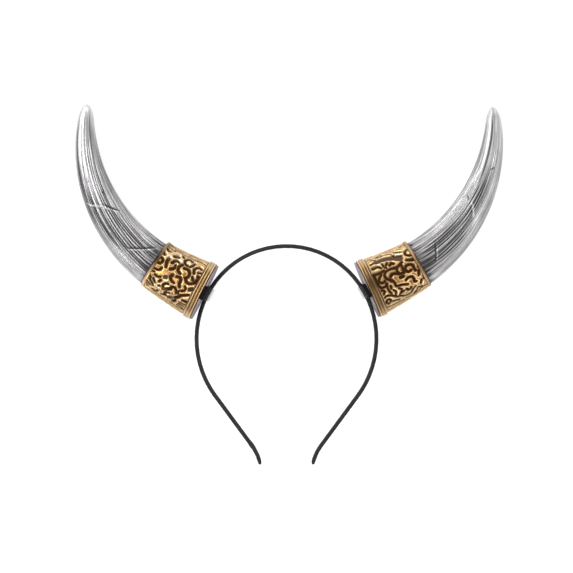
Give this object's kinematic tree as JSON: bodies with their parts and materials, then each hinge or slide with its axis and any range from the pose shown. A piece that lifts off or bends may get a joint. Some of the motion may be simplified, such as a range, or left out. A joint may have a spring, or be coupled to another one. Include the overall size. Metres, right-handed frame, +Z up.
{
  "type": "horn headband",
  "caption": "Costume headband: curved grooved silver horns in scrolled antique-gold collars, fixed to a thin ribbon-wound band that springs onto the head.",
  "frame": {"origin": "bottom centre of the bounding box of the headband as it lies on its back", "axes": "+X to the right seen from the front, +Y towards the horn tips, +Z up, out of the front"},
  "size_m": [0.2778, 0.2326, 0.0419],
  "materials": {
    "ribbon": "black ribbon wound round a springy strip",
    "silver": "silver metallic paint with a dark wash in the grooves",
    "gold": "antique gold paint with a dark brown wash between the scrolls",
    "grey": "plain mauve grey",
    "black": "black felt",
    "clear": "clear flexible plastic"
  },
  "bodies": {
    "root": {"headband": "ribbon", "horn_left": "silver", "collar_left": "gold", "base_plate_left": "grey", "pad_front_left": "black", "pad_back_left": "black", "clear_strap_left": "clear", "horn_right": "silver", "collar_right": "gold", "base_plate_right": "grey", "pad_front_right": "black", "pad_back_right": "black", "clear_strap_right": "clear"}
  },
  "joints": []
}
